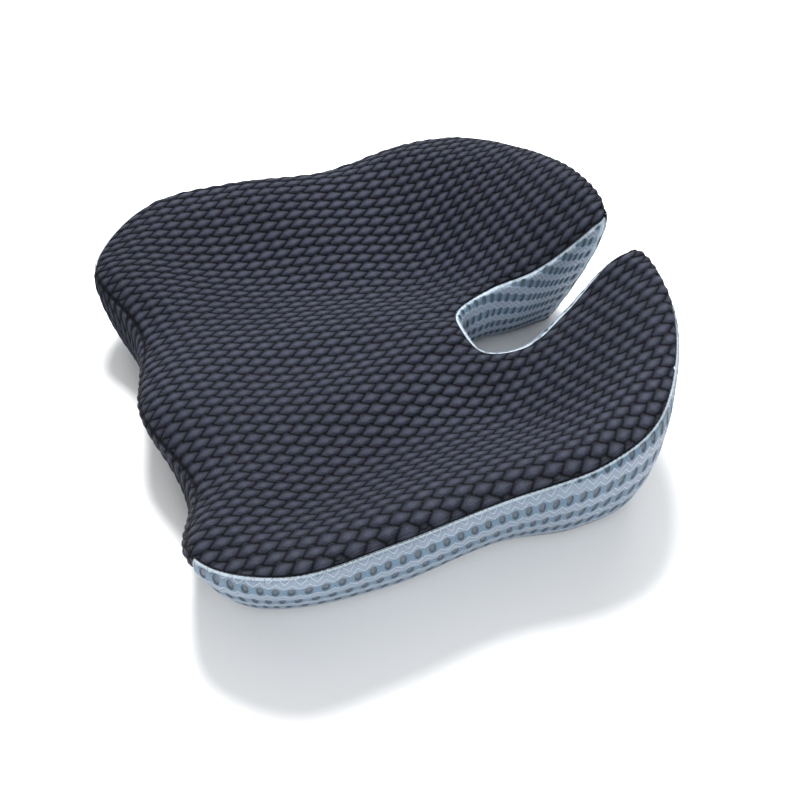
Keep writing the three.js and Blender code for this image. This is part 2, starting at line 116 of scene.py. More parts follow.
SEAM_MARKS = whole_loop(table[:, 0:3])
FOOT_MARKS = whole_loop(np.column_stack([table[:, 3:5], np.full(LAST + 1, PANEL_LOW)]))


def seam_at(q):
    return through(SEAM_MARKS, np.interp(q, steps, range(LAST + 1)))


def foot_at(q):
    return through(FOOT_MARKS, np.interp(q, steps, range(LAST + 1)))


def roll_at(q):
    return through(table[:, 5:7], np.interp(q, steps, range(LAST + 1)), closed=False)


def smooth(v, a, b):
    t = np.clip((v - a) / (b - a), 0, 1)
    return t * t * (3 - 2 * t)


# %% [markdown]
# ## The sitting surface and the side wall
# The broad contour is a dish with side wings, a raised rear and a ridge between two thigh grooves. Near the
# seam the top rolls over in a rounded shoulder, and the wall below bulges a little before it tucks under.
# These are two small functions from pattern coordinates to points, which the panels below are moved onto.

# %% Surface functions
SEAT_FLOOR = 56
WING_RISE, WING_SPAN = 46, (70, 215)
REAR_RISE, REAR_SPAN = 82, (42, 212)
RIDGE_RISE, RIDGE_SPREAD, RIDGE_SPAN = 22, 40, (0, 190)
FRONT_RISE, FRONT_SPAN = 14, (73, 213)
SHOULDER_POWER = 2.2
SWELL_HIGH = (8, 0.12)  # the wall's pull outwards in mm, and down as a part of its height, near the seam
SWELL_LOW = (19, 0.33)  # the same near the foot, where it pulls up


def contour(x, y):
    wing = WING_RISE * smooth(np.abs(x), *WING_SPAN)
    rear = REAR_RISE * smooth(y, *REAR_SPAN)
    ridge = RIDGE_RISE * np.exp(-((x / RIDGE_SPREAD) ** 2)) * smooth(-y, *RIDGE_SPAN)
    front = FRONT_RISE * smooth(-y, *FRONT_SPAN)
    return SEAT_FLOOR + np.hypot(wing, rear) + ridge + front


def shoulder(distance, roll):
    return roll[:, 1] * np.maximum(0, 1 - distance / roll[:, 0]) ** SHOULDER_POWER


def top_surface(q, f):
    """Points of the top: q counts pattern steps from the front centre, f runs from the rim to the notch."""
    q, f = np.broadcast_arrays(q, f)
    outer, inner = seam_at(q), seam_at(HALF - q)
    roll_out, roll_in = roll_at(q), roll_at(HALF - q)
    span = np.hypot(outer[:, 0] - inner[:, 0], outer[:, 1] - inner[:, 1])

    def plain(g):
        x = outer[:, 0] + (inner[:, 0] - outer[:, 0]) * g
        y = outer[:, 1] + (inner[:, 1] - outer[:, 1]) * g
        return x, y, contour(x, y) - shoulder(g * span, roll_out) - shoulder((1 - g) * span, roll_in)

    x, y, z = plain(f)
    at_rim = outer[:, 2] - plain(0 * f)[2]
    at_notch = inner[:, 2] - plain(0 * f + 1)[2]
    z = z + at_rim * (1 - smooth(f, 0, 1)) + at_notch * smooth(f, 0, 1)
    return np.column_stack([x, y, z])


def outward(q):
    """The level direction that points away from the cushion at the seam."""
    ahead = seam_at(np.minimum(q + 0.02, HALF)) - seam_at(np.maximum(q - 0.02, 0))
    side = np.column_stack([ahead[:, 1], -ahead[:, 0], 0 * q])
    return side / np.linalg.norm(side, axis=1)[:, None]


def wall_surface(q, v):
    """Points of the side wall, from the seam at v = 0 to the foot at v = 1."""
    q, v = np.broadcast_arrays(q, v)
    seam, foot, out = seam_at(q), foot_at(q), outward(q)
    high = seam[:, 2] - PANEL_LOW
    a = seam + out * SWELL_HIGH[0]
    a[:, 2] -= SWELL_HIGH[1] * high
    b = foot + out * SWELL_LOW[0]
    b[:, 2] += SWELL_LOW[1] * high
    v = v[:, None]
    return (1 - v) ** 3 * seam + 3 * (1 - v) ** 2 * v * a + 3 * (1 - v) * v**2 * b + v**3 * foot


# %% [markdown]
# ## Cutting the panels
# A panel starts as a flat grid, as cloth does, and each of its points is moved onto the surface. The grid
# operator gives clean quads that a cloth simulation and a subdivision both like, which a filled outline
# would not. The right half is made first and mirrored, so both sides agree.
# The cloth's own coordinates go in a UV map, in metres along the cloth, so that the knit keeps its size.

# %% Panel helpers
WELD = 5e-5


def grid_patch(bm, place, cloth, q_range, f_range, q_steps, f_steps):
    """Adds a grid of quads to bm, moved by place(q, f), with its cloth coordinates from cloth(q, f)."""
    layer = bm.verts.layers.float_vector.get("cloth") or bm.verts.layers.float_vector.new("cloth")
    made = bmesh.ops.create_grid(bm, x_segments=q_steps, y_segments=f_steps, size=0.5)["verts"]
    flat = np.array([v.co for v in made])
    q = q_range[0] + (q_range[1] - q_range[0]) * (flat[:, 0] + 0.5)
    f = f_range[0] + (f_range[1] - f_range[0]) * (flat[:, 1] + 0.5)
    for vert, point, (u, v) in zip(made, place(q, f) * MM, cloth(q, f) * MM):
        vert.co = point
        vert[layer] = (u, v, 0)


def mirror_panel(bm):
    """Welds the patches of the right half, and mirrors them onto the left."""
    for vert in bm.verts:
        if abs(vert.co.x) < 2e-5:
            vert.co.x = 0
    bmesh.ops.remove_doubles(bm, verts=bm.verts, dist=WELD)
    bmesh.ops.mirror(bm, geom=bm.verts[:] + bm.edges[:] + bm.faces[:], axis="X", merge_dist=WELD)
    bmesh.ops.remove_doubles(bm, verts=bm.verts, dist=WELD)


def as_object(bm, name):
    bmesh.ops.recalc_face_normals(bm, faces=bm.faces)
    mesh = bpy.data.meshes.new(name)
    bm.to_mesh(mesh)
    bm.free()
    obj = bpy.data.objects.new(name, mesh)
    scene.collection.objects.link(obj)
    for face in mesh.polygons:
        face.use_smooth = True
    return obj


def face_up(obj, toward):
    """Turns every face over if the panel as a whole faces away from where toward(centre) points."""
    mesh = obj.data
    total = sum((Vector(f.normal).dot(toward(f.center)) * f.area for f in mesh.polygons), 0.0)
    if total < 0:
        mesh.flip_normals()


def thicken(obj, thickness):
    """Gives a sheet its thickness in mm, inwards from the face that shows."""
    wall = obj.modifiers.new("Thickness", "SOLIDIFY")
    wall.thickness = thickness * MM
    wall.offset = -1


def repeat(obj, count, step):
    """Repeats the piece, each copy one step in mm from the last."""
    array = obj.modifiers.new("Repeat", "ARRAY")
    array.count = count
    array.use_relative_offset = False
    array.use_constant_offset = True
    array.constant_offset_displace = Vector(step) * MM


def bake_modifiers(obj):
    """Replaces the object's mesh by what its modifiers make of it."""
    bpy.context.view_layer.update()
    made = bpy.data.meshes.new_from_object(obj.evaluated_get(bpy.context.evaluated_depsgraph_get()))
    obj.modifiers.clear()
    obj.data = made
    made.name = obj.name


# %% [markdown]
# ## Measuring the cloth along the surface
# A knit keeps its size when it is pulled over a slope, so its pattern can't simply be projected from above.
# The helper below measures the distance along the contour in X and in Y, and writes it on each point as the
# cloth's own coordinates. On the walls the distance runs round the seam and down from it.

# %% Cloth coordinates
ALONG = np.arange(-240.0, 241.0, 1.0)
LAID_AT = math.radians(8)


def run_length(heights):
    """Distance along a curve of heights, counted from its middle."""
    length = np.cumsum(np.hypot(1, np.gradient(heights)))
    return length - length[len(ALONG) // 2]


RUN_X = run_length(contour(ALONG, 0 * ALONG))
RUN_Y = run_length(contour(0 * ALONG, ALONG))
FINE_Q = np.linspace(0, HALF, 2401)
ROUND = np.concatenate([[0], np.cumsum(np.linalg.norm(np.diff(seam_at(FINE_Q), axis=0), axis=1))])


def cloth_on_top(points, extra=0.0):
    """Distance along the contour in X and in Y. Extra is cloth beyond the front edge."""
    across = np.interp(points[:, 0], ALONG, RUN_X)
    return np.column_stack([across, np.interp(points[:, 1], ALONG, RUN_Y) - extra])


def lay_top(bm):
    """The top cloth lies a few degrees askew and is stretched unevenly, as hands lay it."""
    layer = bm.verts.layers.float_vector["cloth"]
    c, d = math.cos(LAID_AT), math.sin(LAID_AT)
    for vert in bm.verts:
        across, along, _ = vert[layer]
        across = math.copysign(across, vert.co.x)
        across = 1.06 * across - 0.6 * across**2
        vert[layer] = (across * c + along * d, along * c - across * d, 0)


def drop_along_wall(q, v):
    """Distance down the wall from the seam, as a sum of short steps."""
    down = 0 * q
    before = wall_surface(q, 0 * v)
    for k in range(1, 13):
        here = wall_surface(q, v * k / 12)
        down = down + np.linalg.norm(here - before, axis=1)
        before = here
    return down


def cloth_on_wall(q, v):
    """Distance round the seam and up from the foot, because the band is cut with a straight foot."""
    up = drop_along_wall(q, 0 * v + 1) - drop_along_wall(q, v)
    return np.column_stack([np.interp(q, FINE_Q, ROUND), up])


def cloth_in_notch(q, v):
    """The same cloth, gathered to fit the small gusset."""
    return cloth_on_wall(q, v) * [1.3, 1.9]


def cloth_on_fall(q, v):
    """The top's own cloth, carried on over the front edge and down."""
    return cloth_on_top(seam_at(q), drop_along_wall(q, v))


# %% The top panel, its front fall, the bands and the notch gusset
TOP_GRID, FALL_ROWS = (96, 30), 14
BAND_GRID, GUSSET_GRID = (100, 15), (56, 15)
WHOLE = (0, 1)


def top_rows(q, f):
    """The top with its rows a little closer together towards the rim."""
    return top_surface(q, f**1.15)


def make_top():
    bm = bmesh.new()
    grid_patch(bm, top_rows, lambda q, f: cloth_on_top(top_rows(q, f)), (0, TIP_AT), WHOLE, *TOP_GRID)
    fall_columns = int(TOP_GRID[0] * CORNER_AT / TIP_AT)
    grid_patch(bm, wall_surface, cloth_on_fall, (0, CORNER_AT), WHOLE, fall_columns, FALL_ROWS)
    mirror_panel(bm)
    lay_top(bm)
    return as_object(bm, "top_cloth")


def make_band(name, mirrored):
    bm = bmesh.new()
    grid_patch(bm, wall_surface, cloth_on_wall, (CORNER_AT, TIP_SEAM_AT), WHOLE, *BAND_GRID)
    if mirrored:
        bmesh.ops.scale(bm, vec=(-1, 1, 1), verts=bm.verts)
    return as_object(bm, name)


def make_gusset():
    bm = bmesh.new()
    grid_patch(bm, wall_surface, cloth_in_notch, (TIP_SEAM_AT, HALF), WHOLE, *GUSSET_GRID)
    mirror_panel(bm)
    return as_object(bm, "notch_cloth")


top_cloth = make_top()
band_right = make_band("band_cloth_right", False)
band_left = make_band("band_cloth_left", True)
notch_cloth = make_gusset()
face_up(top_cloth, lambda c: Vector((0, -0.3, 1)))
for band in (band_right, band_left):
    face_up(band, lambda c: Vector((c.x, c.y, 0)))
face_up(notch_cloth, lambda c: Vector((-c.x, 0.12 - c.y, 0)))
panels = [top_cloth, band_right, band_left, notch_cloth]
print({p.name: len(p.data.polygons) for p in panels})

# %% [markdown]
# ## Puffing the panels
# Foam pushes a tight cover out between its seams. A short cloth simulation gives that: the panel's edge is
# held, pressure swells the rest, and the movement is capped, because moulded foam keeps its shape. Sculpting
# by hand is the other way, but the simulation puts the fullness where cloth really has it. Two levels of
# subdivision then make the grid fine enough for the knit to be real relief.

# %% Simulation and refinement
PUFF_LIMIT = 0.003
PUFF_FRAMES = 20


def edge_points(mesh):
    """The points on the open edges of the mesh."""
    used = np.zeros(len(mesh.edges), int)
    for face in mesh.polygons:
        for key in face.loop_indices:
            used[mesh.loops[key].edge_index] += 1
    return sorted({v for e in mesh.edges if used[e.index] == 1 for v in e.vertices})


def coords(mesh):
    flat = np.empty(len(mesh.vertices) * 3, np.float32)
    mesh.vertices.foreach_get("co", flat)
    return flat.reshape(-1, 3).astype(float)


def set_coords(mesh, points):
    mesh.vertices.foreach_set("co", np.asarray(points, np.float32).ravel())
    mesh.update()


def puff(obj):
    """Swells the panel by air pressure, by no more than the limit."""
    start = coords(obj.data)
    held = obj.vertex_groups.new(name="held")
    held.add(edge_points(obj.data), 1.0, "REPLACE")
    cloth = obj.modifiers.new("Cloth", "CLOTH")
    cloth.settings.quality = 4
    cloth.settings.mass = 0.3
    cloth.settings.tension_stiffness = 12
    cloth.settings.compression_stiffness = 8
    cloth.settings.bending_stiffness = 0.6
    cloth.settings.vertex_group_mass = "held"
    cloth.settings.use_pressure = True
    cloth.settings.uniform_pressure_force = 4.0
    cloth.settings.effector_weights.gravity = 0
    for frame_number in range(1, PUFF_FRAMES + 1):
        scene.frame_set(frame_number)
    swollen = coords(obj.evaluated_get(bpy.context.evaluated_depsgraph_get()).data)
    scene.frame_set(1)
    obj.modifiers.remove(cloth)
    obj.vertex_groups.clear()
    move = swollen - start
    size = np.maximum(np.linalg.norm(move, axis=1), 1e-9)[:, None]
    set_coords(obj.data, start + move / size * PUFF_LIMIT * np.tanh(size / PUFF_LIMIT))
    print(obj.name, "swelled by up to", round(float(size.max()) / MM, 1), "mm before the cap")


def refine(obj):
    subdivision = obj.modifiers.new("Refine", "SUBSURF")
    subdivision.levels = subdivision.render_levels = 2
    subdivision.boundary_smooth = "PRESERVE_CORNERS"
    bake_modifiers(obj)


for panel in panels:
    puff(panel)
    refine(panel)
print({p.name: len(p.data.polygons) for p in panels})

# %% [markdown]
# ## The knit as relief
# Air mesh is a thick spacer knit. On the charcoal top its face is drawn into rows of small pillows that sit
# like bricks, with dark creases between; on the pale blue sides the same cloth shows rows of oval eyelets
# with a zigzag rib between the rows. Both patterns are written once as distances on the cloth: here they
# push the points of the mesh in and out, and further down a node group draws the same cells as colour.

# %% Knit distances
TOP_PITCH = (10.4, 13.2)  # from pillow to pillow along a row, and from row to row, in mm
BAND_PITCH = (11.3, 26.5)  # the same for the eyelets
LEAF = 0.52  # how much a length across the rows counts, which draws the cells out into leaves
PILLOW_RISE, PILLOW_SINK, PILLOW_STEP = 1.25, 0.7, (-1.5, 7.5)
PIT_HALF, PIT_DEEP, PIT_STEP = (1.45, 3.5), 0.4, (-1.3, -0.6)  # the small hole between two pillows of a row
EYELET_HALF, EYELET_DEEP, EYELET_STEP = (2.4, 6.4), 0.95, (-1.2, -0.7)
LANE_HALF, LANE_DEEP = 7, 0.35  # the lane that a row of eyelets lies in
SEAM_ROLL = 1.6  # how far a panel's edge turns down into its seam
COVER_THICK = 2.4


def brick(u, v, pitch):
    """Distances in mm from the nearest cell's centre, along and across, for the even and the odd rows."""
    a = ((u / pitch[0] + 0.5) % 1 - 0.5) * pitch[0]
    b = ((v / (2 * pitch[1]) + 0.5) % 1 - 0.5) * 2 * pitch[1]
    c = ((u / pitch[0]) % 1 - 0.5) * pitch[0]
    d = ((v / (2 * pitch[1])) % 1 - 0.5) * 2 * pitch[1]
    return (a, b), (c, d)


def cell_depth(first, second, pitch):
    """How much nearer a point is to its own cell's centre than to the next cell's."""
    near = [np.hypot(a, LEAF * b) for a, b in (first, second)]
    beside = [np.hypot(pitch[0] - np.abs(a), LEAF * b) for a, b in (first, second)]
    return np.where(near[0] < near[1], np.minimum(near[1], beside[0]) - near[0],
                    np.minimum(near[0], beside[1]) - near[1])


def pillow_height(u, v):
    first, second = brick(u, v, TOP_PITCH)
    height = PILLOW_RISE * smooth(cell_depth(first, second, TOP_PITCH), *PILLOW_STEP) - PILLOW_SINK
    for a, b in (first, second):
        pit = np.hypot((TOP_PITCH[0] / 2 - np.abs(a)) / PIT_HALF[0], b / PIT_HALF[1])
        height = height - PIT_DEEP * smooth(-pit, *PIT_STEP)
    return height


def eyelet_height(u, v):
    height = LANE_DEEP + 0 * u
    for a, b in brick(u, v, BAND_PITCH):
        hole = np.hypot(a / EYELET_HALF[0], b / EYELET_HALF[1])
        lane = np.exp(-((b / LANE_HALF) ** 4))
        height = height - LANE_DEEP * lane - EYELET_DEEP * smooth(-hole, *EYELET_STEP)
    return height


def seam_directions(obj, others):
    """For each edge point, the way into the seam: against the mean facing of the panels that meet there."""
    edge = edge_points(obj.data)
    tree = KDTree(sum(len(o.data.vertices) for o in others))
    facing = []
    for other in others:
        for index in edge_points(other.data):
            tree.insert(other.data.vertices[index].co, len(facing))
            facing.append(np.array(other.data.vertex_normals[index].vector))
    tree.balance()
    ways = []
    for index in edge:
        way = np.array(obj.data.vertex_normals[index].vector)
        met = [facing[k] for _, k, _ in tree.find_range(obj.data.vertices[index].co, 0.002)]
        if met:
            way = way + np.mean(met, axis=0)
        ways.append(-way / np.linalg.norm(way))
    return edge, np.array(ways)


SEAM_WAYS = {p.name: seam_directions(p, [o for o in panels if o is not p]) for p in panels}


def finish_cloth(obj, relief):
    """Rolls the panel's edge into its seam, adds the knit's relief, and records the cloth as a UV map."""
    mesh = obj.data
    points = coords(mesh)
    normals = np.array([v.vector for v in mesh.vertex_normals])
    cloth = np.empty(len(points) * 3, np.float32)
    mesh.attributes["cloth"].data.foreach_get("vector", cloth)
    cloth = cloth.reshape(-1, 3).astype(float)
    edge, ways = SEAM_WAYS[obj.name]
    tree = KDTree(len(edge))
    for k, index in enumerate(edge):
        tree.insert(points[index], k)
    tree.balance()
    found = [tree.find(p) for p in points]
    away = np.array([distance for _, _, distance in found]) / MM
    way = ways[[k for _, k, _ in found]]
    height = relief(cloth[:, 0] / MM, cloth[:, 1] / MM) * smooth(away, 0.5, 4)
    roll = SEAM_ROLL * (1 - smooth(away, 0, 4.5))
    set_coords(mesh, points + (normals * height[:, None] + way * roll[:, None]) * MM)
    layer = mesh.uv_layers.new(name="cloth")
    corner = np.empty(len(mesh.loops), np.int32)
    mesh.loops.foreach_get("vertex_index", corner)
    layer.data.foreach_set("uv", cloth[corner][:, :2].astype(np.float32).ravel())
    seam = mesh.attributes.new("seam", "FLOAT", "POINT")
    seam.data.foreach_set("value", (1 - smooth(away, 0.5, 7)).astype(np.float32))


finish_cloth(top_cloth, pillow_height)
for panel in (band_right, band_left, notch_cloth):
    finish_cloth(panel, eyelet_height)
for panel in panels:
    thicken(panel, COVER_THICK)
    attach(panel, "cushion")
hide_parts("top_panel")
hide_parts("side_band_right")
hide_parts("side_band_left")
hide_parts("notch_gusset")

# %% [markdown]
# ## Shader helpers
# Every finish below is a network of small sums on the cloth's or the piece's own coordinates. Placing those
# nodes by hand in the editor is quick for one, but the knits need dozens, so short helpers add a node, set
# its inputs and pass on its output. Effects that several finishes share are node groups, made once.

# %% Node helpers
def put(socket, value):
    if isinstance(value, bpy.types.NodeSocket):
        socket.id_data.links.new(value, socket)
    elif value is not None:
        socket.default_value = value


def calc(tree, operation, *values):
    node = tree.nodes.new("ShaderNodeMath")
    node.operation = operation
    for socket, value in zip(node.inputs, values):
        put(socket, value)
    return node.outputs[0]


def ramp(tree, value, low, high, out_low=0.0, out_high=1.0):
    """A smooth step from out_low at low to out_high at high."""
    node = tree.nodes.new("ShaderNodeMapRange")
    node.interpolation_type = "SMOOTHSTEP"
    for name, given in zip(("Value", "From Min", "From Max", "To Min", "To Max"),
                           (value, low, high, out_low, out_high)):
        put(node.inputs[name], given)
    return node.outputs[0]


def blend_colour(tree, mask, under, over):
    node = tree.nodes.new("ShaderNodeMix")
    node.data_type = "RGBA"
    put(node.inputs[0], mask)
    put(node.inputs[6], under)
    put(node.inputs[7], over)
    return node.outputs[2]


def layered(tree, colour, *layers):
    """Lays layers over a colour. Each is a mask, how strongly it counts, and its colour."""
    for mask, strength, over in layers:
        colour = blend_colour(tree, calc(tree, "MULTIPLY", mask, strength), colour, over)
    return colour


def weighed(tree, total, *terms):
    """Adds terms to a height. Each is a value and what it is multiplied by."""
    for value, factor in terms:
        total = calc(tree, "MULTIPLY_ADD", value, factor, total)
    return total


def length(tree, a, b):
    return calc(tree, "SQRT", calc(tree, "MULTIPLY_ADD", a, a, calc(tree, "MULTIPLY", b, b)))


def oval(tree, along, across, half):
    """How far out a point lies in an oval, from 0 at its middle to 1 on its edge."""
    return length(tree, calc(tree, "DIVIDE", along, half[0]), calc(tree, "DIVIDE", across, half[1]))


def edge_ring(tree, value, low, high):
    """A line round an oval: 1 where the value is near 1, and 0 further off than high."""
    off = calc(tree, "ABSOLUTE", calc(tree, "SUBTRACT", value, 1.0))
    return ramp(tree, off, low, high, 1.0, 0.0)


def strands(tree, value, pitch):
    """Fine parallel yarns, as a wave from 0 to 1."""
    wave = calc(tree, "SINE", calc(tree, "MULTIPLY", value, math.tau / pitch))
    return calc(tree, "MULTIPLY_ADD", wave, 0.5, 0.5)


def speckle(tree, vector, scale, detail=2.0, roughness=0.5):
    node = tree.nodes.new("ShaderNodeTexNoise")
    put(node.inputs["Vector"], vector)
    put(node.inputs["Scale"], scale)
    node.inputs["Detail"].default_value = detail
    node.inputs["Roughness"].default_value = roughness
    return node.outputs["Fac"]


def new_group(name, inputs, outputs):
    group = bpy.data.node_groups.new(name, "ShaderNodeTree")
    for label, kind, value in inputs:
        socket = group.interface.new_socket(label, in_out="INPUT", socket_type=kind)
        if value is not None:
            socket.default_value = value
    for label, kind in outputs:
        group.interface.new_socket(label, in_out="OUTPUT", socket_type=kind)
    return group, group.nodes.new("NodeGroupInput").outputs, group.nodes.new("NodeGroupOutput").inputs


def use_group(tree, group, **values):
    node = tree.nodes.new("ShaderNodeGroup")
    node.node_tree = group
    for label, value in values.items():
        put(node.inputs[label.replace("_", " ")], value)
    return node.outputs


VECTOR, FLOAT = "NodeSocketVector", "NodeSocketFloat"

# %% [markdown]
# ## The knit as colour
# The brick group finds, for a point of the cloth, how far it is from its own cell's centre and from the next
# one. A second group turns that into masks: the pillow, the dark crease between pillows, the oval eyelet and
# its rim, the lane along a row of eyelets and the zigzag rib. The bumps that pushed the mesh used the same
# sums, so the colour falls on the relief. A Voronoi texture is the easy choice, but it can't lay its cells
# like bricks.

# %% Brick rows group
def masks(*labels):
    return [(label, FLOAT) for label in labels]


def make_brick_group():
    group, given, out = new_group("brick_rows",
        [("Cloth", VECTOR, None), ("Along", FLOAT, 10.0), ("Across", FLOAT, 10.0), ("Shift", FLOAT, 0.5),
         ("Leaf", FLOAT, 1.0)],
        masks("Along", "Across", "Distance", "Beside"))
    parts = group.nodes.new("ShaderNodeSeparateXYZ")
    put(parts.inputs[0], given["Cloth"])

    def folded(value, pitch):
        cell = calc(group, "ADD", calc(group, "DIVIDE", value, pitch), given["Shift"])
        part = calc(group, "SUBTRACT", calc(group, "FLOORED_MODULO", cell, 1.0), 0.5)
        return calc(group, "MULTIPLY", part, pitch)

    u = calc(group, "MULTIPLY", parts.outputs[0], 1000.0)
    v = calc(group, "MULTIPLY", parts.outputs[1], 1000.0)
    a = folded(u, given["Along"])
    b = folded(v, calc(group, "MULTIPLY", given["Across"], 2.0))
    short = calc(group, "MULTIPLY", b, given["Leaf"])
    beside = calc(group, "SUBTRACT", given["Along"], calc(group, "ABSOLUTE", a))
    put(out["Along"], a)
    put(out["Across"], b)
    put(out["Distance"], length(group, a, short))
    put(out["Beside"], length(group, beside, short))
    return group


BRICK = make_brick_group()


def both_rows(tree, cloth, pitch):
    return [use_group(tree, BRICK, Cloth=cloth, Along=pitch[0], Across=pitch[1], Shift=s, Leaf=LEAF)
            for s in (0.5, 0.0)]


# %% Pillow and eyelet groups
TOP_YARN, BAND_YARN = 1.3, 1.2 * MM  # the first is drawn on lengths in mm, and the second in metres
RIB_OFF, RIB_TURN, RIB_SLOPE = 9.6, 2.8, 1.3


def make_pillow_group():
    group, given, out = new_group("pillow_knit", [("Cloth", VECTOR, None)],
                                  masks("Pillow", "Crease", "Eye", "Rim", "Strand", "Side"))
    one, two = both_rows(group, given["Cloth"], TOP_PITCH)
    first = calc(group, "LESS_THAN", one["Distance"], two["Distance"])

    def chosen(of_one, of_two):
        """The value of the row whose cell is the nearer."""
        return calc(group, "MULTIPLY_ADD", calc(group, "SUBTRACT", of_one, of_two), first, of_two)

    def depth_in(own, other):
        edge = calc(group, "MINIMUM", other["Distance"], own["Beside"])
        return calc(group, "SUBTRACT", edge, own["Distance"])

    cell = chosen(depth_in(one, two), depth_in(two, one))
    side = chosen(one["Along"], two["Along"])
    eyes = []
    for row in (one, two):
        along = calc(group, "SUBTRACT", TOP_PITCH[0] / 2, calc(group, "ABSOLUTE", row["Along"]))
        eyes.append(oval(group, along, row["Across"], PIT_HALF))
    eye = calc(group, "MINIMUM", *eyes)
    put(out["Pillow"], ramp(group, cell, 0.3, 7.0))
    put(out["Crease"], ramp(group, cell, 0.2, 1.9, 1.0, 0.0))
    put(out["Eye"], ramp(group, eye, 0.55, 0.9, 1.0, 0.0))
    put(out["Rim"], edge_ring(group, eye, 0.08, 0.5))
    put(out["Strand"], strands(group, side, TOP_YARN))
    put(out["Side"], calc(group, "DIVIDE", side, TOP_PITCH[0] / 2))
    return group


def make_eyelet_group():
    group, given, out = new_group("eyelet_knit", [("Cloth", VECTOR, None)],
                                  masks("Hole", "Rim", "Lane", "Rib", "Strand"))
    holes, lanes, ribs = [], [], []
    for row in both_rows(group, given["Cloth"], BAND_PITCH):
        far = calc(group, "ABSOLUTE", row["Across"])
        reach = calc(group, "SUBTRACT", RIB_TURN, calc(group, "ABSOLUTE", row["Along"]))
        rib_line = calc(group, "MULTIPLY_ADD", reach, RIB_SLOPE, RIB_OFF)
        holes.append(oval(group, row["Along"], row["Across"], EYELET_HALF))
        lanes.append(far)
        ribs.append(calc(group, "ABSOLUTE", calc(group, "SUBTRACT", far, rib_line)))
    hole, lane, rib = (calc(group, "MINIMUM", *pair) for pair in (holes, lanes, ribs))
    put(out["Hole"], ramp(group, hole, 0.7, 0.95, 1.0, 0.0))
    put(out["Rim"], edge_ring(group, hole, 0.05, 0.35))
    put(out["Lane"], ramp(group, lane, 5.5, 8.4, 1.0, 0.0))
    put(out["Rib"], ramp(group, rib, 0.3, 1.25, 1.0, 0.0))
    parts = group.nodes.new("ShaderNodeSeparateXYZ")
    put(parts.inputs[0], given["Cloth"])
    put(out["Strand"], strands(group, parts.outputs[0], BAND_YARN))
    return group


PILLOW, EYELET = make_pillow_group(), make_eyelet_group()

# %% [markdown]
# ## Flecks, uneven dye and fuzz
# Real knit is never one even tone: the yarn is flecked, the dye drifts over a hand's width, and the surface
# is fuzzed here and rubbed smooth there. One group gives those three masks to every finish.

# %% Yarn group
def make_yarn_group():
    group, given, out = new_group("yarn", [("Place", VECTOR, None), ("Fleck size", FLOAT, 1400.0)],
                                  masks("Fleck", "Drift", "Fuzz"))
    flecks = speckle(group, given["Place"], given["Fleck size"], 3.0)
    put(out["Fleck"], ramp(group, flecks, 0.35, 0.7))
    put(out["Drift"], ramp(group, speckle(group, given["Place"], 9.0, 3.0), 0.3, 0.7))
    put(out["Fuzz"], ramp(group, speckle(group, given["Place"], 420.0, 4.0, 0.7), 0.3, 0.75))
    return group


YARN = make_yarn_group()


def finish(name, roughness=0.8, metallic=0.0, specular=0.5, sheen=0.0, sheen_roughness=0.5,
           sheen_tint=(1, 1, 1)):
    """A material with its shader, and the object coordinates to draw on."""
    material = bpy.data.materials.new(name)
    material.use_nodes = True
    tree = material.node_tree
    shader = tree.nodes["Principled BSDF"]
    shader.inputs["Roughness"].default_value = roughness
    shader.inputs["Metallic"].default_value = metallic
    shader.inputs["Specular IOR Level"].default_value = specular
    shader.inputs["Sheen Weight"].default_value = sheen
    shader.inputs["Sheen Roughness"].default_value = sheen_roughness
    shader.inputs["Sheen Tint"].default_value = (*sheen_tint, 1)
    place = tree.nodes.new("ShaderNodeTexCoord").outputs["Object"]
    return material, tree, shader, place


def add_bump(tree, shader, height, distance, strength=1.0):
    bump = tree.nodes.new("ShaderNodeBump")
    bump.inputs["Distance"].default_value = distance
    bump.inputs["Strength"].default_value = strength
    put(bump.inputs["Height"], height)
    put(shader.inputs["Normal"], bump.outputs["Normal"])


def uv_of(tree):
    node = tree.nodes.new("ShaderNodeUVMap")
    node.uv_map = "cloth"
    return node.outputs[0]


def seam_of(tree):
    node = tree.nodes.new("ShaderNodeAttribute")
    node.attribute_name = "seam"
    return node.outputs["Fac"]


